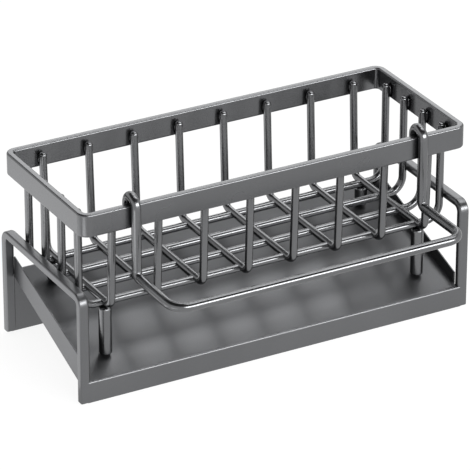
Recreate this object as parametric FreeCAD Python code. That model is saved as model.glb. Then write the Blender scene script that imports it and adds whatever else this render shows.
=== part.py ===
"""Sponge holder: a wire basket that drops into a sloped drip tray, with a hook-on towel bar.

Millimetres. +X is to the right along the holder, +Y to the back, +Z up.
The origin is on the counter, under the middle of the whole holder.
"""
import FreeCAD, Part
import math
import os

V = FreeCAD.Vector

# Wire stock
wire_diameter = 4.2         # 4 mm stock under its coat
leg_diameter = 6.8
towel_wire_diameter = 5.1
wire_end_flat = 0.8         # across the flat left on the rounded ends of a wire
weld_gap = 0.1              # pieces lie this far apart where a weld joins them
weld_setdown = 3.2          # crossing wires are pressed this far into one another by their welds

# Basket rim
rim_length = 225.0
rim_depth = 90.0
rim_top = 105.4             # height of the rim above the counter
band_height = 12.5
band_thickness = 3.8
rim_bend_radius = 2.2       # inside of the band's corners
band_edge_round = 0.8

# Basket wires
cross_wire_count = 8
long_wire_count = 4
basket_floor_height = 46.0  # centre line of the long wires
cross_bend_radius = 2.5     # inside of the bend, as are the other wires' bends
long_bend_radius = 7.0
riser_lean = 2.35           # front and back risers stand this much further in at the floor
riser_end_drop = 3.7        # riser ends stop this far below the rim's top
outer_cross_wire_inset = 13.9  # from the end risers to the first cross wire
outer_long_wire_inset = 8.45   # from the front risers to the first long wire

# Basket legs
leg_outset = 1.2            # the legs' centres lie this far outside the long wires' centre lines
leg_end_round = 1.4
leg_seat_gap = 0.3

# Tray
frame_height = 61.0
frame_bar_width = 5.7
frame_bar_depth = 4.4
frame_bend_radius = 2.1     # inside of the bend
frame_edge_round = 0.9
foot_round = 1.4            # rounding of the posts' feet, seen from the side
back_foot_gap = 1.6         # the back posts stop this far above the counter
sheet_thickness = 0.8
apron_thickness = 1.5
apron_edge_flat = 0.3       # left on an apron's top beside the rounding of its outer edge
front_edge_height = 11.9    # the pan's low front edge
back_edge_height = 35.8     # the pan's high back edge
cheek_rise_front = 5.9      # side cheeks stand this high over the pan at the front posts
cheek_rise_back = 10.2      # and at the back posts
cheek_ground_gap = 3.0      # under the cheeks at the front
cheek_drop_back = 0.95      # cheeks reach this far under the pan at the back
tray_margin = 0.3           # the tray is this much deeper than the rim, at front and back
basket_side_clearance = 0.4  # between the end risers and the side frames

# Towel bar
hook_inset = 9.0            # from the outermost cross wire to the hook
hook_clearance = 0.3        # between the band and the hook, at front and back
hook_tail = 10.4            # the hook's inner leg reaches this far below the rim's top
towel_drop = 38.7           # from the rim's top down to the arms
towel_reach = 41.6          # from the drops forward to the front run
elbow_radius = 1.05
front_corner_radius = 6.65

# Places that follow from the sizes above
wire_radius = wire_diameter / 2
leg_radius = leg_diameter / 2
towel_radius = towel_wire_diameter / 2
band_inner_offset = band_thickness + weld_gap + wire_radius
riser_end_height = rim_top - riser_end_drop
end_riser_x = rim_length / 2 - band_inner_offset
side_riser_y = rim_depth / 2 - band_inner_offset
side_riser_foot_y = side_riser_y - riser_lean
cross_wire_height = basket_floor_height + wire_diameter - weld_setdown
weld_height = (basket_floor_height + cross_wire_height) / 2  # crossing wires meet at this height
outer_cross_x = end_riser_x - outer_cross_wire_inset
outer_long_y = side_riser_foot_y - outer_long_wire_inset
leg_y = outer_long_y + leg_outset
tray_depth = rim_depth + 2 * tray_margin
tray_back = tray_depth / 2
frame_inner_x = end_riser_x + wire_radius + basket_side_clearance
tray_half_length = frame_inner_x + frame_bar_width
pan_half_depth = tray_back - apron_thickness
cheek_half_depth = tray_back - frame_bar_depth - weld_gap
pan_slope = math.atan2(back_edge_height - front_edge_height, 2 * pan_half_depth)
hook_x = outer_cross_x - hook_inset
hook_radius = band_thickness / 2 + hook_clearance  # inside of the hook's arch
drop_y = -(rim_depth / 2 + hook_clearance + towel_radius)
tail_y = drop_y + 2 * (hook_radius + towel_radius)
crown_height = rim_top - band_edge_round + hook_radius + towel_radius
arm_height = rim_top - towel_drop
front_run_y = drop_y - towel_reach
middle_y = (tray_back + front_run_y - towel_radius) / 2


def pan_height(y):
    """Height of the pan's upper face at a place from front to back."""
    return front_edge_height + (y + pan_half_depth) * math.tan(pan_slope)


def spread(count, half_span):
    """Evenly spaced places from -half_span to half_span."""
    return [half_span * (2 * i / (count - 1) - 1) for i in range(count)]


def bent_path(points, radii):
    """A path of straight runs, with a tangent arc of the given radius at each inner point."""
    edges = []
    start = points[0]
    for before, corner, after, radius in zip(points, points[1:], points[2:], radii):
        back = (before - corner).normalize()
        ahead = (after - corner).normalize()
        half = back.getAngle(ahead) / 2
        setback = radius / math.tan(half)
        to_centre = (back + ahead).normalize()
        arc_start = corner + back * setback
        arc_end = corner + ahead * setback
        arc_middle = corner + to_centre * (radius / math.sin(half) - radius)
        if arc_start.distanceToPoint(start) > 1e-6:
            edges.append(Part.LineSegment(start, arc_start).toShape())
        edges.append(Part.Arc(arc_start, arc_middle, arc_end).toShape())
        start = arc_end
    edges.append(Part.LineSegment(start, points[-1]).toShape())
    return Part.Wire(edges)


def bent_wire(points, inside_radii, radius):
    """A round wire bent along a path, with both cut ends rounded."""
    path = bent_path(points, [inside + radius for inside in inside_radii])
    section = Part.Circle(points[0], points[1] - points[0], radius).toShape()
    solid = path.makePipeShell([Part.Wire([section])], True, False)
    tips = (points[0], points[-1])
    ends = [e for e in solid.Edges if any(e.CenterOfMass.distanceToPoint(t) < 1e-3 for t in tips)]
    return solid.makeFillet(radius - wire_end_flat / 2, ends)


def rounded_block(length, depth, low, high, corner_radius):
    """An upright block about the middle, with rounded upright corners."""
    block = Part.makeBox(length, depth, high - low, V(-length / 2, -depth / 2, low))
    upright = [e for e in block.Edges if abs(e.tangentAt(e.FirstParameter).z) > 0.5]
    return block.makeFillet(corner_radius, upright)


def rim_band():
    """Flat bar on edge, bent to a rounded rectangle, with eased edges."""
    low = rim_top - band_height
    outer = rounded_block(rim_length, rim_depth, low, rim_top, rim_bend_radius + band_thickness)
    inner_length = rim_length - 2 * band_thickness
    inner_depth = rim_depth - 2 * band_thickness
    inner = rounded_block(inner_length, inner_depth, low, rim_top, rim_bend_radius)
    band = outer.cut(inner)
    rims = [e for e in band.Edges if e.BoundBox.ZLength < 1e-6]
    return band.makeFillet(band_edge_round, rims)


def weld_seat(x, y, crossing_axis, crossing_height, low, high):
    """Room in a wire for the one that crosses it, between two heights."""
    reach = 2 * wire_diameter
    start = V(x, y, crossing_height) - crossing_axis * reach
    rod = Part.makeCylinder(wire_radius + weld_gap, 2 * reach, start, crossing_axis)
    layer = Part.makeBox(2 * reach, 2 * reach, high - low, V(x - reach, y - reach, low))
    return rod.common(layer)


def cross_wire(x):
    """U-wire from the front rim, under the sponges, to the back rim, seated on the long wires."""
    points = [
        V(x, -side_riser_y, riser_end_height),
        V(x, -side_riser_foot_y, cross_wire_height),
        V(x, side_riser_foot_y, cross_wire_height),
        V(x, side_riser_y, riser_end_height),
    ]
    wire = bent_wire(points, [cross_bend_radius] * 2, wire_radius)
    low, high = basket_floor_height - wire_diameter, weld_height + weld_gap / 2
    return wire.cut([weld_seat(x, y, V(1, 0, 0), basket_floor_height, low, high)
                     for y in spread(long_wire_count, outer_long_y)])


def long_wire(y):
    """U-wire from the left rim, under the cross wires, to the right rim."""
    points = [
        V(-end_riser_x, y, riser_end_height),
        V(-end_riser_x, y, basket_floor_height),
        V(end_riser_x, y, basket_floor_height),
        V(end_riser_x, y, riser_end_height),
    ]
    wire = bent_wire(points, [long_bend_radius] * 2, wire_radius)
    low, high = weld_height - weld_gap / 2, cross_wire_height + wire_diameter
    return wire.cut([weld_seat(x, y, V(0, 1, 0), cross_wire_height, low, high)
                     for x in spread(cross_wire_count, outer_cross_x)])


def leg(x, y):
    """Rod leg under a wire crossing, with a rounded foot that stands on the sloped pan."""
    top = basket_floor_height - wire_radius - weld_gap
    flat_radius = leg_radius - leg_end_round
    uphill = pan_height(y + flat_radius)
    foot = uphill - leg_end_round + (leg_end_round + leg_seat_gap) / math.cos(pan_slope)
    rod = Part.makeCylinder(leg_radius, top - foot, V(x, y, foot))
    foot_edge = [e for e in rod.Edges if abs(e.CenterOfMass.z - foot) < 1e-6]
    return rod.makeFillet(leg_end_round, foot_edge)


def side_frame(side):
    """Square bar bent to an upside-down U that stands on its front post."""
    low_x = min(side * frame_inner_x, side * tray_half_length)

    def arch(half_depth, height, corner_radius):
        block = Part.makeBox(frame_bar_width, 2 * half_depth, height, V(low_x, -half_depth, 0))
        crown = [e for e in block.Edges
                 if e.BoundBox.ZMin > height - 1e-6 and e.BoundBox.XLength > frame_bar_width - 1e-3]
        return block.makeFillet(corner_radius, crown)

    outer = arch(tray_back, frame_height, frame_bend_radius + frame_bar_depth)
    inner = arch(tray_back - frame_bar_depth, frame_height - frame_bar_depth, frame_bend_radius)
    under_back_foot = Part.makeBox(frame_bar_width, tray_back, back_foot_gap, V(low_x, 0, 0))
    bar = outer.cut([inner, under_back_foot])
    foot_edges = [e for e in bar.Edges
                  if e.BoundBox.ZMax < back_foot_gap + 1e-6 and e.BoundBox.XLength > frame_bar_width - 1e-3]
    bar = bar.makeFillet(foot_round, foot_edges)
    long_edges = [e for e in bar.Edges if e.BoundBox.XLength < 1e-3]
    return bar.makeFillet(frame_edge_round, long_edges)


def apron(side, height):
    """Upright plate between the posts, with its outer edges eased."""
    low_y = min(side * tray_back, side * pan_half_depth)
    plate = Part.makeBox(2 * frame_inner_x, apron_thickness, height, V(-frame_inner_x, low_y, 0))
    outer_top = [e for e in plate.Edges
                 if e.BoundBox.XLength > frame_inner_x
                 and abs(e.CenterOfMass.y - side * tray_back) < 1e-6
                 and e.CenterOfMass.z > height / 2]
    return plate.makeFillet(apron_thickness - apron_edge_flat, outer_top)


def drip_pan():
    """Sloped sheet between the aprons, with a tall cheek between the posts at each end."""
    def sheet(outline, low_x, width):
        corners = [V(low_x, y, z) for y, z in outline]
        return Part.Face(Part.makePolygon(corners + corners[:1])).extrude(V(width, 0, 0))

    front, back = -pan_half_depth, pan_half_depth
    under = sheet_thickness / math.cos(pan_slope)
    floor = sheet([(front, front_edge_height), (back, back_edge_height),
                   (back, back_edge_height - under), (front, front_edge_height - under)],
                  -frame_inner_x, 2 * frame_inner_x)
    cheek_front, cheek_back = -cheek_half_depth, cheek_half_depth
    cheek = [(cheek_front, pan_height(cheek_front) + cheek_rise_front),
             (cheek_back, pan_height(cheek_back) + cheek_rise_back),
             (cheek_back, pan_height(cheek_back) - under - cheek_drop_back),
             (cheek_front, cheek_ground_gap)]
    left = sheet(cheek, -frame_inner_x - sheet_thickness, sheet_thickness)
    right = sheet(cheek, frame_inner_x, sheet_thickness)
    return floor.fuse([left, right]).removeSplitter()


def towel_bar():
    """One bent wire: a hook over the rim at each end, two arms and the front run."""
    def half(side):
        x = side * hook_x
        return [
            V(x, tail_y, rim_top - hook_tail),
            V(x, tail_y, crown_height),
            V(x, drop_y, crown_height),
            V(x, drop_y, arm_height),
            V(x, front_run_y, arm_height),
        ]

    points = half(-1) + half(1)[::-1]
    radii = [hook_radius, hook_radius, elbow_radius, front_corner_radius]
    return bent_wire(points, radii + radii[::-1], towel_radius)


nodes = {
    "left_side_frame": side_frame(-1),
    "right_side_frame": side_frame(1),
    "front_apron": apron(-1, front_edge_height),
    "back_apron": apron(1, back_edge_height),
    "drip_pan": drip_pan(),
    "rim_band": rim_band(),
    "towel_bar": towel_bar(),
}
for number, x in enumerate(spread(cross_wire_count, outer_cross_x), 1):
    nodes[f"cross_wire_{number}"] = cross_wire(x)
for number, y in enumerate(spread(long_wire_count, outer_long_y), 1):
    nodes[f"long_wire_{number}"] = long_wire(y)
for depth_name, y in (("front", -leg_y), ("back", leg_y)):
    for side_name, x in (("left", -outer_cross_x), ("right", outer_cross_x)):
        nodes[f"leg_{depth_name}_{side_name}"] = leg(x, y)

os.makedirs("parts", exist_ok=True)
for name, shape in nodes.items():
    shape.translate(V(0, -middle_y, 0))
    if not shape.isValid() or len(shape.Solids) != 1:
        raise ValueError(f"{name} is not one valid solid")
    shape.exportStep(f"parts/{name}.step")
    print(f"{name}: {shape.Volume:.1f} mm3")
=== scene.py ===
"""Looks of the sponge holder: coated wire basket, sloped drip tray and hook-on towel bar.

Metres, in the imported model's frame: +X to the right along the holder, +Y to the back, +Z up.
"""
import math

import bmesh
import bpy
from mathutils import Matrix, Vector


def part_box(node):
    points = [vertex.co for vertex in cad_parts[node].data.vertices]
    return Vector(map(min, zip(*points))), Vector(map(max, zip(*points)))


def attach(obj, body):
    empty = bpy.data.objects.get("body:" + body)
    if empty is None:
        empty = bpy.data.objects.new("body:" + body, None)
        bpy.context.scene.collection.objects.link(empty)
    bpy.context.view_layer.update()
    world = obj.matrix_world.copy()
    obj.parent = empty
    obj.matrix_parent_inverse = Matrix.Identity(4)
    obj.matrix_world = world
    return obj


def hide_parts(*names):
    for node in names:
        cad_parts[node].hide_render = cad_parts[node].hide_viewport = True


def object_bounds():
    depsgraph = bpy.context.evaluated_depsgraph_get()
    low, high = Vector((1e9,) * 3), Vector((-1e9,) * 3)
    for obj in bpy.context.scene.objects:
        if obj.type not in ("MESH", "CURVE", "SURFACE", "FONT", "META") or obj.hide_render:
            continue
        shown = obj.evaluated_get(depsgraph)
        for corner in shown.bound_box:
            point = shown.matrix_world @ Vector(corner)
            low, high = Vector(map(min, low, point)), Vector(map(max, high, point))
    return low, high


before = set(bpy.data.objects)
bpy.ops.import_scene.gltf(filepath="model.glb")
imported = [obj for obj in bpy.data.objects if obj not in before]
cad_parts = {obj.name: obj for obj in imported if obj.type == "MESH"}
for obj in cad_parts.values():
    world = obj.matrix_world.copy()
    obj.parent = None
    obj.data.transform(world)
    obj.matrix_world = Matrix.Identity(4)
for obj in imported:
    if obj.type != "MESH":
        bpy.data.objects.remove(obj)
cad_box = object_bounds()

MM = 0.001
QUARTER_TURN = math.pi / 2
SHARP_EDGE = math.radians(40)

# Bends, roundings and clearances; the radius of a bend is that of its inside
TOWEL_WIRE_RADIUS = 2.55 * MM
WIRE_END_FLAT = 0.8 * MM
WELD_GAP = 0.1 * MM
RISER_LEAN = 2.35 * MM
CROSS_WIRE_BEND = 2.5 * MM
LONG_WIRE_BEND = 7.0 * MM
LEG_END_ROUND = 1.4 * MM
BAND_THICKNESS = 3.8 * MM
BAND_BEND = 2.2 * MM
BAND_EDGE_ROUND = 1.0 * MM
FRAME_BAR_DEPTH = 4.4 * MM
FRAME_BEND = 2.1 * MM
FRAME_EDGE_ROUND = 0.9 * MM
FRAME_INNER_ROUND = 1.8 * MM
FOOT_EDGE_ROUND = 0.5 * MM
BACK_FOOT_GAP = 1.6 * MM
APRON_EDGE_ROUND = 1.2 * MM
SHEET_THICKNESS = 0.8 * MM
SHEET_EDGE_ROUND = 0.25 * MM
CHEEK_RISE_FRONT = 5.9 * MM
CHEEK_DROP_BACK = 0.95 * MM
HOOK_CLEARANCE = 0.3 * MM
HOOK_TAIL = 10.4 * MM
TOWEL_ELBOW = 1.05 * MM
TOWEL_FRONT_BEND = 6.65 * MM

# Half sizes of the weld beads, as shares of the wire's radius, or of a riser's length on the rim
CROSSING_BEAD_REACH = 1.42
CROSSING_BEAD_HEIGHT = 0.5
RIM_BEAD_WIDTH = 0.7
RIM_BEAD_DEPTH = 0.25
RIM_BEAD_LENGTH = 0.36

# Sprayed coat: dark and light shade of each gunmetal, and what all the finishes share. All parts wear one
# gunmetal coat: the pan's darker copy is painted shade from the basket above it, and the wires' and towel
# bar's lighter copy is painted sheen that brightens their highlights
# Darker copy of the one gunmetal, used on the pan: painted shade from the basket over it
PAN_SHADED_GUNMETAL = ((0.110, 0.112, 0.116), (0.140, 0.142, 0.147))
GUNMETAL = ((0.118, 0.120, 0.124), (0.150, 0.152, 0.157))
# Lighter copy of the one gunmetal, used on the wires and the towel bar: painted sheen that brightens their
# highlights
WIRE_SHEEN_GUNMETAL = ((0.130, 0.132, 0.136), (0.165, 0.167, 0.172))
GRAZING_TINT = (0.72, 0.72, 0.72, 1)
FLAKE_SCALE = 5200.0
FLAKE_SHARE = 0.45
SHADE_SCALE = 22.0
SHADE_SHARE = 0.55
SHADE_LOW = 0.3
SHADE_HIGH = 0.7
PEEL_STRENGTH = 0.35
CLEAR_COAT_ROUGHNESS = 0.12

# Floor, cards and sky; the sky's limits are heights on a sphere of radius 1
WHITE = (1, 1, 1, 1)
FLOOR_COLOUR = (0.9, 0.9, 0.9, 1)
FLOOR_ROUGHNESS = 0.9
FLOOR_WHITE_SHARE = 0.9
FLOOR_HALF_SIZE = 4.0
FLOOR_DROP = 0.05 * MM
CARD_HEIGHT = 1 * MM
SKY_WHITE_BELOW = 0.40
SKY_GREY_ABOVE = 0.68
SKY_WHITE = 1.0
SKY_GREY = 0.05

# Camera; it looks at a point given from the counter under the tray's middle
VIEW_AZIMUTH = math.radians(-28.78)
VIEW_ELEVATION = math.radians(26.54)
VIEW_DISTANCE = 2.054
VIEW_LENS = 301.4
SENSOR_WIDTH = 36.0
LOOK_LEFT = 2.65 * MM
LOOK_AHEAD = 2.91 * MM
LOOK_HEIGHT = 50.96 * MM

# Mesh fineness
MERGE_DISTANCE = 0.01 * MM
WIRE_STEP = 0.8 * MM
WIRE_SIDES = 28
BEND_STEPS = 20
END_CUTS = 4
EDGE_SEGMENTS = 4
BEAD_SEGMENTS = 16

CROSS_WIRES = [f"cross_wire_{number}" for number in range(1, 9)]
LONG_WIRES = [f"long_wire_{number}" for number in range(1, 5)]
LEGS = [f"leg_{place}_{side}" for place in ("front", "back") for side in ("left", "right")]


# Node helpers

def put(tree, kind, inputs=None, **settings):
    """Add a node, with its settings, and link or set its inputs by name or number."""
    node = tree.nodes.new(kind)
    for key, value in settings.items():
        setattr(node, key, value)
    for key, value in (inputs or {}).items():
        if isinstance(value, bpy.types.NodeSocket):
            tree.links.new(value, node.inputs[key])
        else:
            node.inputs[key].default_value = value
    return node


def calc(tree, operation, *terms):
    """The result of one math node on sockets or numbers."""
    return put(tree, "ShaderNodeMath", dict(enumerate(terms)), operation=operation).outputs[0]


def geometry_tree(name, inputs):
    """A geometry node tree with named inputs; gives the tree and its input node."""
    tree = bpy.data.node_groups.new(name, "GeometryNodeTree")
    tree.interface.new_socket("Geometry", in_out="INPUT", socket_type="NodeSocketGeometry")
    for label, kind in inputs.items():
        tree.interface.new_socket(label, in_out="INPUT", socket_type=kind)
    tree.interface.new_socket("Geometry", in_out="OUTPUT", socket_type="NodeSocketGeometry")
    return tree, tree.nodes.new("NodeGroupInput")


def close_tree(tree, given, geometry):
    """End a tree: smooth shading, real geometry and the finish."""
    smooth = put(tree, "GeometryNodeSetShadeSmooth", {"Geometry": geometry})
    real = put(tree, "GeometryNodeRealizeInstances", {"Geometry": smooth.outputs[0]})
    coated = put(tree, "GeometryNodeSetMaterial", {
        "Geometry": real.outputs[0], "Material": given.outputs["Finish"]})
    put(tree, "NodeGroupOutput", {"Geometry": coated.outputs[0]})
    return tree


def bent_line(tree, given):
    """The given edge path as a curve, with a round bend at each inner point."""
    line = put(tree, "GeometryNodeMeshToCurve", {"Mesh": given.outputs["Geometry"]})
    bend = put(tree, "GeometryNodeInputNamedAttribute", {"Name": "bend"}, data_type="FLOAT")
    bent = put(tree, "GeometryNodeFilletCurve", {
        "Curve": line.outputs[0], "Count": BEND_STEPS, "Radius": bend.outputs["Attribute"]}, mode="POLY")
    return bent.outputs[0]


def round_wire_tree():
    """A round wire along a bent path, with rounded ends."""
    tree, given = geometry_tree("round_wire", {
        "Radius": "NodeSocketFloat", "End Round": "NodeSocketFloat", "Step": "NodeSocketFloat",
        "Sides": "NodeSocketInt", "Finish": "NodeSocketMaterial"})
    radius, step, end_round = given.outputs["Radius"], given.outputs["Step"], given.outputs["End Round"]
    even = put(tree, "GeometryNodeResampleCurve", {
        "Curve": bent_line(tree, given), "Length": step}, mode="LENGTH")

    along = put(tree, "GeometryNodeSplineParameter").outputs["Length"]
    length = put(tree, "GeometryNodeSplineLength").outputs["Length"]
    to_end = calc(tree, "SUBTRACT", length, along)
    to_tip = calc(tree, "MINIMUM", along, to_end)
    near_tip = calc(tree, "LESS_THAN", to_tip, calc(tree, "ADD", end_round, step))
    fine = put(tree, "GeometryNodeSubdivideCurve", {
        "Curve": even.outputs[0], "Cuts": calc(tree, "MULTIPLY", near_tip, END_CUTS)})

    share = calc(tree, "MINIMUM", calc(tree, "DIVIDE", to_tip, end_round), 1.0)
    turn = calc(tree, "MULTIPLY", share, QUARTER_TURN)
    missing = calc(tree, "MULTIPLY", end_round, calc(tree, "SUBTRACT", 1.0, calc(tree, "SINE", turn)))
    swollen = put(tree, "GeometryNodeSetCurveRadius", {
        "Curve": fine.outputs[0],
        "Radius": calc(tree, "SUBTRACT", 1.0, calc(tree, "DIVIDE", missing, radius))})
    height = calc(tree, "SUBTRACT", 1.0, calc(tree, "COSINE", turn))
    slide = calc(tree, "MULTIPLY", end_round, calc(tree, "SUBTRACT", height, share))
    at_start = calc(tree, "LESS_THAN", along, to_end)
    heading = calc(tree, "MULTIPLY_ADD", at_start, 2.0, -1.0)
    tangent = put(tree, "GeometryNodeInputTangent").outputs[0]
    offset = put(tree, "ShaderNodeVectorMath", {
        "Vector": tangent, "Scale": calc(tree, "MULTIPLY", slide, heading)}, operation="SCALE")
    rounded = put(tree, "GeometryNodeSetPosition", {
        "Geometry": swollen.outputs[0], "Offset": offset.outputs[0]})

    ring = put(tree, "GeometryNodeCurvePrimitiveCircle", {
        "Resolution": given.outputs["Sides"], "Radius": radius})
    skin = put(tree, "GeometryNodeCurveToMesh", {
        "Curve": rounded.outputs[0], "Profile Curve": ring.outputs[0],
        "Scale": put(tree, "GeometryNodeInputRadius").outputs[0], "Fill Caps": True})
    closed = put(tree, "GeometryNodeMergeByDistance", {
        "Geometry": skin.outputs[0], "Distance": MERGE_DISTANCE})
    return close_tree(tree, given, closed.outputs[0])


def flat_bar_tree():
    """A round-edged bar along a bent path in one plane.

    The two edges on the side that Plane Normal points to have a rounding of their own, Inner Round.
    """
    tree, given = geometry_tree("flat_bar", {
        "Width": "NodeSocketFloat", "Thickness": "NodeSocketFloat",
        "Edge Round": "NodeSocketFloat", "Inner Round": "NodeSocketFloat",
        "Plane Normal": "NodeSocketVector", "Finish": "NodeSocketMaterial"})
    upright = put(tree, "GeometryNodeSetCurveNormal", {
        "Curve": bent_line(tree, given), "Normal": given.outputs["Plane Normal"]}, mode="FREE")
    section = put(tree, "GeometryNodeCurvePrimitiveQuadrilateral", {
        "Width": given.outputs["Width"], "Height": given.outputs["Thickness"]}, mode="RECTANGLE")
    corner = put(tree, "GeometryNodeInputPosition").outputs[0]
    across = put(tree, "ShaderNodeSeparateXYZ", {"Vector": corner}).outputs["X"]
    inner = calc(tree, "GREATER_THAN", across, 0.0)
    more = calc(tree, "SUBTRACT", given.outputs["Inner Round"], given.outputs["Edge Round"])
    rounding = calc(tree, "MULTIPLY_ADD", inner, more, given.outputs["Edge Round"])
    eased = put(tree, "GeometryNodeFilletCurve", {
        "Curve": section.outputs[0], "Count": EDGE_SEGMENTS, "Radius": rounding}, mode="POLY")
    skin = put(tree, "GeometryNodeCurveToMesh", {
        "Curve": upright.outputs[0], "Profile Curve": eased.outputs[0], "Fill Caps": True})
    return close_tree(tree, given, skin.outputs[0])


def weld_bead_tree():
    """A rounded weld bead on each point, as large as the point's size says."""
    tree, given = geometry_tree("weld_bead", {"Segments": "NodeSocketInt", "Finish": "NodeSocketMaterial"})
    rings = calc(tree, "DIVIDE", given.outputs["Segments"], 2.0)
    bead = put(tree, "GeometryNodeMeshUVSphere", {
        "Segments": given.outputs["Segments"], "Rings": rings, "Radius": 1.0})
    size = put(tree, "GeometryNodeInputNamedAttribute", {"Name": "size"}, data_type="FLOAT_VECTOR")
    beads = put(tree, "GeometryNodeInstanceOnPoints", {
        "Points": given.outputs["Geometry"], "Instance": bead.outputs["Mesh"],
        "Scale": size.outputs["Attribute"]})
    return close_tree(tree, given, beads.outputs[0])


# Piece helpers

def placed(name, data):
    """A new object at the origin."""
    thing = bpy.data.objects.new(name, data)
    bpy.context.scene.collection.objects.link(thing)
    return thing


def settle(piece):
    """Turn the piece's modifiers into its plain mesh."""
    graph = bpy.context.evaluated_depsgraph_get()
    mesh = bpy.data.meshes.new_from_object(
        piece.evaluated_get(graph), preserve_all_data_layers=True, depsgraph=graph)
    piece.modifiers.clear()
    piece.data = mesh
    return piece


def grow(name, base, tree, **values):
    """A piece made by a geometry tree on a base mesh."""
    piece = placed(name, base)
    modifier = piece.modifiers.new(tree.name, "NODES")
    modifier.node_group = tree
    for item in tree.interface.items_tree:
        key = item.name.lower().replace(" ", "_")
        if item.in_out == "INPUT" and key in values:
            modifier[item.identifier] = values[key]
    return settle(piece)


def keep_flats(piece):
    """Shade the piece's large faces flat and its roundings smooth."""
    piece.data.set_sharp_from_angle(angle=SHARP_EDGE)
    weighted = piece.modifiers.new("flat_faces", "WEIGHTED_NORMAL")
    weighted.keep_sharp = True
    return settle(piece)


def ease_edges(piece, width):
    """Round the piece's sharp edges and keep its flats flat."""
    bevel = piece.modifiers.new("eased_edges", "BEVEL")
    bevel.width = width
    bevel.segments = EDGE_SEGMENTS
    bevel.limit_method = "ANGLE"
    bevel.angle_limit = SHARP_EDGE
    return keep_flats(settle(piece))


def path(name, points, bends, closed=False):
    """An edge path through points, with the radius of the bend at each of them."""
    mesh = bpy.data.meshes.new(name)
    edges = [(i, i + 1) for i in range(len(points) - 1)]
    if closed:
        edges.append((len(points) - 1, 0))
    mesh.from_pydata(points, edges, [])
    mesh.attributes.new("bend", "FLOAT", "POINT").data.foreach_set("value", bends)
    return mesh


def extrusion(outline, low_x, high_x):
    """Side outline of (y, z) points, given as a solid from low_x to high_x."""
    shape = bmesh.new()
    near = [shape.verts.new((low_x, y, z)) for y, z in outline]
    far = [shape.verts.new((high_x, y, z)) for y, z in outline]
    shape.faces.new(near)
    shape.faces.new(far[::-1])
    for i in range(len(outline)):
        j = (i + 1) % len(outline)
        shape.faces.new((near[j], near[i], far[i], far[j]))
    bmesh.ops.recalc_face_normals(shape, faces=shape.faces)
    for face in shape.faces:
        face.smooth = True
    return shape


def solid(name, shapes, finish):
    """A piece of one or more closed shapes."""
    mesh = bpy.data.meshes.new(name)
    joined = bmesh.new()
    for shape in shapes:
        shape.to_mesh(mesh)
        joined.from_mesh(mesh)
        shape.free()
    joined.to_mesh(mesh)
    joined.free()
    mesh.materials.append(finish)
    return placed(name, mesh)


def hand_over(piece, body, slot, *nodes):
    """The piece stands for CAD nodes and moves with their body."""
    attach(piece, body)
    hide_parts(*nodes)


def middle(node):
    """Centre of a CAD node's box."""
    low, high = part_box(node)
    return (low + high) / 2


# Finishes

def shader_group(name, inputs, outputs):
    """A shader node group; gives the tree, its input node and its output node."""
    tree = bpy.data.node_groups.new(name, "ShaderNodeTree")
    for label in inputs:
        tree.interface.new_socket(label, in_out="INPUT", socket_type="NodeSocketFloat")
    for label in outputs:
        tree.interface.new_socket(label, in_out="OUTPUT", socket_type="NodeSocketFloat")
    return tree, tree.nodes.new("NodeGroupInput"), tree.nodes.new("NodeGroupOutput")


def coat_texture():
    """Fine orange peel, metal flake and slow shade changes of a sprayed metallic coat."""
    tree, given, out = shader_group(
        "coat_texture", ("Peel Scale", "Flake Scale", "Shade Scale"), ("Peel", "Flake", "Shade"))
    place = put(tree, "ShaderNodeTexCoord").outputs["Object"]
    peel = put(tree, "ShaderNodeTexNoise", {
        "Vector": place, "Scale": given.outputs["Peel Scale"], "Detail": 2.0, "Roughness": 0.5})
    flake = put(tree, "ShaderNodeTexVoronoi", {"Vector": place, "Scale": given.outputs["Flake Scale"]})
    cell = put(tree, "ShaderNodeSeparateColor", {"Color": flake.outputs["Color"]})
    shade = put(tree, "ShaderNodeTexNoise", {
        "Vector": place, "Scale": given.outputs["Shade Scale"], "Detail": 3.0, "Roughness": 0.55})
    tree.links.new(peel.outputs["Fac"], out.inputs["Peel"])
    tree.links.new(cell.outputs["Red"], out.inputs["Flake"])
    tree.links.new(shade.outputs["Fac"], out.inputs["Shade"])
    return tree


def coated_metal(name, texture, shades, gloss, peel_scale, peel_depth, clear_coat):
    """Sprayed gunmetal coat of a dark and a light shade; gloss holds its least and most roughness."""
    dark, light = shades
    material = bpy.data.materials.new(name)
    material.use_nodes = True
    tree = material.node_tree
    shader = tree.nodes["Principled BSDF"]
    look = put(tree, "ShaderNodeGroup", {
        "Peel Scale": peel_scale, "Flake Scale": FLAKE_SCALE, "Shade Scale": SHADE_SCALE},
        node_tree=texture)
    mixed = calc(tree, "MULTIPLY_ADD", look.outputs["Flake"], FLAKE_SHARE,
                 calc(tree, "MULTIPLY", look.outputs["Shade"], SHADE_SHARE))
    colour = put(tree, "ShaderNodeMix", {
        "Factor": mixed, "A": (*dark, 1), "B": (*light, 1)}, data_type="RGBA")
    rough = put(tree, "ShaderNodeMapRange", {
        "Value": look.outputs["Shade"], "From Min": SHADE_LOW, "From Max": SHADE_HIGH,
        "To Min": gloss[0], "To Max": gloss[1]})
    bump = put(tree, "ShaderNodeBump", {
        "Height": look.outputs["Peel"], "Strength": PEEL_STRENGTH, "Distance": peel_depth})
    tree.links.new(colour.outputs["Result"], shader.inputs["Base Color"])
    tree.links.new(rough.outputs["Result"], shader.inputs["Roughness"])
    tree.links.new(bump.outputs["Normal"], shader.inputs["Normal"])
    shader.inputs["Metallic"].default_value = 1.0
    shader.inputs["Specular Tint"].default_value = GRAZING_TINT
    shader.inputs["Coat Weight"].default_value = clear_coat
    shader.inputs["Coat Roughness"].default_value = CLEAR_COAT_ROUGHNESS
    return material


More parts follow.
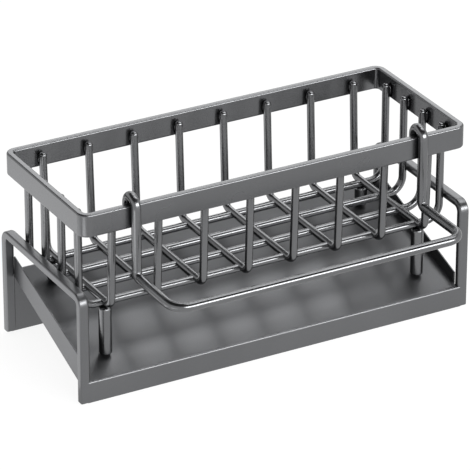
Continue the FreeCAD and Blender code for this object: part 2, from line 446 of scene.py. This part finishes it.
texture = coat_texture()
tray_finish = coated_metal(
    "tray_satin_gunmetal", texture, GUNMETAL, gloss=(0.31, 0.38),
    peel_scale=1300.0, peel_depth=0.02 * MM, clear_coat=0.1)
# The pan's darker shades are painted shade from the basket above it; the pan has the tray's own coat
pan_painted_shade_finish = coated_metal(
    "pan_satin_gunmetal", texture, PAN_SHADED_GUNMETAL, gloss=(0.36, 0.42),
    peel_scale=1300.0, peel_depth=0.01 * MM, clear_coat=0.1)
rim_finish = coated_metal(
    "rim_satin_gunmetal", texture, GUNMETAL, gloss=(0.23, 0.29),
    peel_scale=1300.0, peel_depth=0.02 * MM, clear_coat=0.1)
# The wires' and towel bar's lighter shades are painted sheen that brightens their highlights; they have
# the tray's own coat
wire_painted_sheen_finish = coated_metal(
    "wire_semi_gloss_gunmetal", texture, WIRE_SHEEN_GUNMETAL, gloss=(0.20, 0.26),
    peel_scale=1700.0, peel_depth=0.006 * MM, clear_coat=0.15)
towel_bar_painted_sheen_finish = coated_metal(
    "towel_bar_semi_gloss_gunmetal", texture, WIRE_SHEEN_GUNMETAL, gloss=(0.18, 0.24),
    peel_scale=1700.0, peel_depth=0.006 * MM, clear_coat=0.15)

round_wire = round_wire_tree()
flat_bar = flat_bar_tree()
weld_bead = weld_bead_tree()


# Basket

rim_low, rim_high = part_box("rim_band")
first_cross_low, first_cross_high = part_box(CROSS_WIRES[0])
wire_radius = (first_cross_high.x - first_cross_low.x) / 2
wire_end_round = wire_radius - WIRE_END_FLAT / 2
riser_end = first_cross_high.z
cross_floor = first_cross_low.z + wire_radius
long_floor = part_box(LONG_WIRES[0])[0].z + wire_radius


def wire_piece(node, points, bends, radius, end_round, finish):
    """A round wire that stands for a CAD node; bends are inside radii, None where there is no bend."""
    name = f"{node}_coated"
    lines = [0.0 if bend is None else bend + radius for bend in bends]
    return grow(name, path(name, points, lines), round_wire, radius=radius, end_round=end_round,
                step=WIRE_STEP, sides=WIRE_SIDES, finish=finish)


def cross_wire(node):
    """U-wire from the front rim to the back rim, with leaning risers."""
    low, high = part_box(node)
    x = middle(node).x
    front, back = low.y + wire_radius, high.y - wire_radius
    points = [
        (x, front, riser_end),
        (x, front + RISER_LEAN, cross_floor),
        (x, back - RISER_LEAN, cross_floor),
        (x, back, riser_end),
    ]
    piece = wire_piece(node, points, [None, CROSS_WIRE_BEND, CROSS_WIRE_BEND, None],
                       wire_radius, wire_end_round, wire_painted_sheen_finish)
    hand_over(piece, "basket", "wire_coating", node)


def long_wire(node):
    """U-wire from the left rim to the right rim."""
    low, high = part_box(node)
    y = middle(node).y
    left, right = low.x + wire_radius, high.x - wire_radius
    points = [
        (left, y, riser_end),
        (left, y, long_floor),
        (right, y, long_floor),
        (right, y, riser_end),
    ]
    piece = wire_piece(node, points, [None, LONG_WIRE_BEND, LONG_WIRE_BEND, None],
                       wire_radius, wire_end_round, wire_painted_sheen_finish)
    hand_over(piece, "basket", "wire_coating", node)


def leg(node):
    """Rod under a wire crossing."""
    low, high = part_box(node)
    at = middle(node)
    radius = (high.x - low.x) / 2
    points = [(at.x, at.y, low.z), (at.x, at.y, high.z)]
    piece = wire_piece(node, points, [None, None], radius, LEG_END_ROUND, wire_painted_sheen_finish)
    hand_over(piece, "basket", "wire_coating", node)


def rim_band():
    """Flat bar on edge, bent round the basket."""
    inset = BAND_THICKNESS / 2
    left, right = rim_low.x + inset, rim_high.x - inset
    front, back = rim_low.y + inset, rim_high.y - inset
    height = (rim_low.z + rim_high.z) / 2
    points = [(left, front, height), (right, front, height), (right, back, height), (left, back, height)]
    base = path("rim_band_path", points, [BAND_BEND + inset] * 4, closed=True)
    piece = grow("rim_band_coated", base, flat_bar, width=rim_high.z - rim_low.z, thickness=BAND_THICKNESS,
                 edge_round=BAND_EDGE_ROUND, inner_round=BAND_EDGE_ROUND,
                 plane_normal=(0, 0, 1), finish=rim_finish)
    keep_flats(piece)
    hand_over(piece, "basket", "rim_coating", "rim_band")


def basket_welds():
    """Weld beads at the wire crossings and along the risers on the rim."""
    places, sizes = [], []

    def bead(x, y, z, *size):
        places.append((x, y, z))
        sizes.extend(size)

    across = [middle(node).x for node in CROSS_WIRES]
    along = [middle(node).y for node in LONG_WIRES]
    seam = (cross_floor + long_floor) / 2
    rim_middle = (rim_low.z + riser_end) / 2
    reach = CROSSING_BEAD_REACH * wire_radius
    height = CROSSING_BEAD_HEIGHT * wire_radius
    wide = RIM_BEAD_WIDTH * wire_radius
    deep = RIM_BEAD_DEPTH * wire_radius
    tall = (riser_end - rim_low.z) * RIM_BEAD_LENGTH
    for x in across:
        for y in along:
            bead(x, y, seam, reach, reach, height)
        for y in (rim_low.y + BAND_THICKNESS, rim_high.y - BAND_THICKNESS):
            bead(x, y, rim_middle, wide, deep, tall)
    for y in along:
        for x in (rim_low.x + BAND_THICKNESS, rim_high.x - BAND_THICKNESS):
            bead(x, y, rim_middle, deep, wide, tall)
    base = bpy.data.meshes.new("basket_weld_places")
    base.from_pydata(places, [], [])
    base.attributes.new("size", "FLOAT_VECTOR", "POINT").data.foreach_set("vector", sizes)
    piece = grow("basket_weld_beads", base, weld_bead, segments=BEAD_SEGMENTS, finish=wire_painted_sheen_finish)
    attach(piece, "basket")


# Towel bar

def towel_bar():
    """One bent wire: hooks over the rim, drops, arms and front run."""
    low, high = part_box("towel_bar")
    hook_bend = BAND_THICKNESS / 2 + HOOK_CLEARANCE
    crown = high.z - TOWEL_WIRE_RADIUS
    drop = rim_low.y - HOOK_CLEARANCE - TOWEL_WIRE_RADIUS
    tail = drop + 2 * (hook_bend + TOWEL_WIRE_RADIUS)
    arm = low.z + TOWEL_WIRE_RADIUS
    front = low.y + TOWEL_WIRE_RADIUS
    side = high.x - TOWEL_WIRE_RADIUS
    half = [
        (tail, rim_high.z - HOOK_TAIL, None),
        (tail, crown, hook_bend),
        (drop, crown, hook_bend),
        (drop, arm, TOWEL_ELBOW),
        (front, arm, TOWEL_FRONT_BEND),
    ]
    points = [(-side, y, z) for y, z, _ in half] + [(side, y, z) for y, z, _ in half[::-1]]
    bends = [bend for _, _, bend in half + half[::-1]]
    piece = wire_piece("towel_bar", points, bends, TOWEL_WIRE_RADIUS,
                       TOWEL_WIRE_RADIUS - WIRE_END_FLAT / 2, towel_bar_painted_sheen_finish)
    hand_over(piece, "towel_bar", "towel_bar_coating", "towel_bar")


# Tray

frame_low, frame_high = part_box("left_side_frame")


def side_frame(node):
    """Rectangular bar bent to an upside-down U that stands on its front post."""
    low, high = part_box(node)
    inset = FRAME_BAR_DEPTH / 2
    x = middle(node).x
    front, back, top = low.y + inset, high.y - inset, high.z - inset
    bend = FRAME_BEND + inset
    points = [(x, front, low.z), (x, front, top), (x, back, top), (x, back, low.z + BACK_FOOT_GAP)]
    base = path(f"{node}_path", points, [0, bend, bend, 0])
    piece = grow(f"{node}_coated", base, flat_bar, width=high.x - low.x, thickness=FRAME_BAR_DEPTH,
                 edge_round=FRAME_EDGE_ROUND, inner_round=FRAME_INNER_ROUND,
                 plane_normal=(math.copysign(1, -x), 0, 0), finish=tray_finish)
    ease_edges(piece, FOOT_EDGE_ROUND)
    hand_over(piece, "tray", "tray_coating", node)


def apron(node, outward):
    """Upright sheet whose outer top edge is a round bend."""
    low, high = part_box(node)
    outer, inner = (low.y, high.y) if outward < 0 else (high.y, low.y)
    top = high.z
    centre = outer - outward * APRON_EDGE_ROUND
    steps = 2 * EDGE_SEGMENTS
    arc = []
    for i in range(steps + 1):
        turn = QUARTER_TURN * i / steps
        arc.append((centre + outward * APRON_EDGE_ROUND * math.cos(turn),
                    top - APRON_EDGE_ROUND * (1 - math.sin(turn))))
    outline = [(inner, low.z), (outer, low.z), *arc, (inner, top)]
    reach = FRAME_INNER_ROUND  # fills the posts' rounding, so that the front is one flush face
    piece = solid(f"{node}_coated", [extrusion(outline, low.x - reach, high.x + reach)], tray_finish)
    keep_flats(piece)
    hand_over(piece, "tray", "tray_coating", node)


def drip_pan():
    """Sloped sheet, with a tall cheek between the posts at each end."""
    low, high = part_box("drip_pan")
    front_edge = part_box("front_apron")[1].z
    back_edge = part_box("back_apron")[1].z
    slope = math.atan2(back_edge - front_edge, high.y - low.y)
    under = SHEET_THICKNESS / math.cos(slope)
    inner = high.x - SHEET_THICKNESS
    floor = [(low.y, front_edge), (high.y, back_edge),
             (high.y, back_edge - under), (low.y, front_edge - under)]
    start = frame_low.y + FRAME_BAR_DEPTH + WELD_GAP
    end = frame_high.y - FRAME_BAR_DEPTH - WELD_GAP
    start_height = front_edge + (start - low.y) * math.tan(slope)
    end_height = front_edge + (end - low.y) * math.tan(slope)
    cheek = [(start, start_height + CHEEK_RISE_FRONT), (end, high.z),
             (end, end_height - under - CHEEK_DROP_BACK), (start, low.z)]
    shapes = [extrusion(floor, -inner, inner)]
    for side in ((-high.x, -inner), (inner, high.x)):
        shapes.append(extrusion(cheek, *side))
    piece = solid("drip_pan_coated", shapes, pan_painted_shade_finish)
    ease_edges(piece, SHEET_EDGE_ROUND)
    hand_over(piece, "tray", "tray_coating", "drip_pan")


for node in CROSS_WIRES:
    cross_wire(node)
for node in LONG_WIRES:
    long_wire(node)
for node in LEGS:
    leg(node)
rim_band()
basket_welds()
towel_bar()
side_frame("left_side_frame")
side_frame("right_side_frame")
apron("front_apron", -1)
apron("back_apron", 1)
drip_pan()


# Studio

tray_middle_y = (frame_low.y + frame_high.y) / 2
look_at = Vector((-LOOK_LEFT, tray_middle_y - LOOK_AHEAD, LOOK_HEIGHT))
front_left = Vector((-50 * MM, tray_middle_y - 35 * MM, 15 * MM))  # on the pan's low front


def white_for_view(tree, shader, share, colour=WHITE):
    """Mix a shader with the studio's white for camera, glossy and transmission rays."""
    rays = put(tree, "ShaderNodeLightPath")
    seen = calc(tree, "MAXIMUM", rays.outputs["Is Camera Ray"], rays.outputs["Is Glossy Ray"])
    seen = calc(tree, "MAXIMUM", seen, rays.outputs["Is Transmission Ray"])
    white = put(tree, "ShaderNodeEmission", {"Color": colour, "Strength": 1.0})
    seen_share = calc(tree, "MULTIPLY", seen, share)
    mix = put(tree, "ShaderNodeMixShader", {0: seen_share, 1: shader, 2: white.outputs[0]})
    return mix.outputs[0]


def studio_floor():
    """Wide pale floor just under the holder."""
    half = FLOOR_HALF_SIZE
    mesh = bpy.data.meshes.new("studio_floor")
    corners = [(-half, -half), (half, -half), (half, half), (-half, half)]
    mesh.from_pydata([(x, y, -FLOOR_DROP) for x, y in corners], [], [(0, 1, 2, 3)])
    material = bpy.data.materials.new("pale_floor")
    material.use_nodes = True
    tree = material.node_tree
    paint = tree.nodes["Principled BSDF"]
    paint.inputs["Base Color"].default_value = FLOOR_COLOUR
    paint.inputs["Roughness"].default_value = FLOOR_ROUGHNESS
    seen = white_for_view(tree, paint.outputs[0], FLOOR_WHITE_SHARE)
    tree.links.new(seen, tree.nodes["Material Output"].inputs["Surface"])
    mesh.materials.append(material)
    placed("studio_floor", mesh)


def softbox(name, aim, towards, distance, width, height, brightness, spread=180):
    """Area light that shines on the point aim; towards is the direction from there to the lamp.

    Its width runs along X, and brightness is that of its surface.
    """
    light = bpy.data.lights.new(name, "AREA")
    light.shape = "RECTANGLE"
    light.size, light.size_y = width, height
    light.energy = brightness * math.pi * width * height
    light.spread = math.radians(spread)
    lamp = placed(name, light)
    away = Vector(towards).normalized()
    along = (Vector((1, 0, 0)) - away * away.x).normalized()
    lamp.location = aim + away * distance
    lamp.rotation_mode = "QUATERNION"
    lamp.rotation_quaternion = Matrix((along, away.cross(along), away)).transposed().to_quaternion()
    lamp.visible_camera = False


def bounce_card(name, left, back, width, depth, brightness):
    """Bright card on the floor that shines up.

    It lies left of the holder's left end and back from the tray's middle.
    """
    place = Vector((cad_box[0].x - left, tray_middle_y + back, CARD_HEIGHT))
    softbox(name, aim=place, towards=(0, 0, -1), distance=0,
            width=width, height=depth, brightness=brightness)


def studio_world():
    """White surroundings that go grey overhead, dimmer as a light than they look."""
    world = bpy.data.worlds.new("studio")
    world.use_nodes = True
    tree = world.node_tree
    ambient = tree.nodes["Background"]
    ambient.inputs["Color"].default_value = WHITE
    ambient.inputs["Strength"].default_value = 1.0
    place = put(tree, "ShaderNodeTexCoord").outputs["Generated"]
    height = put(tree, "ShaderNodeSeparateXYZ", {"Vector": place}).outputs["Z"]
    sky = put(tree, "ShaderNodeMapRange", {
        "Value": height, "From Min": SKY_WHITE_BELOW, "From Max": SKY_GREY_ABOVE,
        "To Min": SKY_WHITE, "To Max": SKY_GREY}, interpolation_type="SMOOTHSTEP")
    seen = white_for_view(tree, ambient.outputs[0], 1.0, sky.outputs["Result"])
    tree.links.new(seen, tree.nodes["World Output"].inputs["Surface"])
    bpy.context.scene.world = world


def camera():
    """Long lens from the front left, above the holder."""
    data = bpy.data.cameras.new("camera")
    data.lens = VIEW_LENS
    data.sensor_width = SENSOR_WIDTH
    eye = placed("camera", data)
    level = math.cos(VIEW_ELEVATION)
    away = Vector((
        math.sin(VIEW_AZIMUTH) * level, -math.cos(VIEW_AZIMUTH) * level, math.sin(VIEW_ELEVATION)))
    eye.location = look_at + away * VIEW_DISTANCE
    eye.rotation_mode = "QUATERNION"
    eye.rotation_quaternion = (-away).to_track_quat("-Z", "Y")
    bpy.context.scene.camera = eye


studio_floor()
softbox("overhead_softbox", aim=front_left, towards=(0.40, 0.325, 0.857), distance=0.35,
        width=0.34, height=0.14, brightness=0.5, spread=70)
softbox("overhead_fill", aim=look_at, towards=(0.43, -0.06, 0.90), distance=1.0,
        width=0.9, height=0.3, brightness=3.6)
softbox("back_softbox", aim=look_at, towards=(0.43, 0.78, 0.45), distance=1.2,
        width=0.8, height=0.4, brightness=2.2)
softbox("front_softbox", aim=look_at, towards=(0.25, -0.89, 0.38), distance=1.0,
        width=1.3, height=0.32, brightness=10.0)
bounce_card("floor_card", left=100 * MM, back=115 * MM, width=0.2, depth=0.29, brightness=0.85)
bounce_card("front_card", left=145 * MM, back=-140 * MM, width=0.1, depth=0.09, brightness=2.0)
studio_world()
camera()
bpy.context.scene.view_settings.view_transform = "Standard"
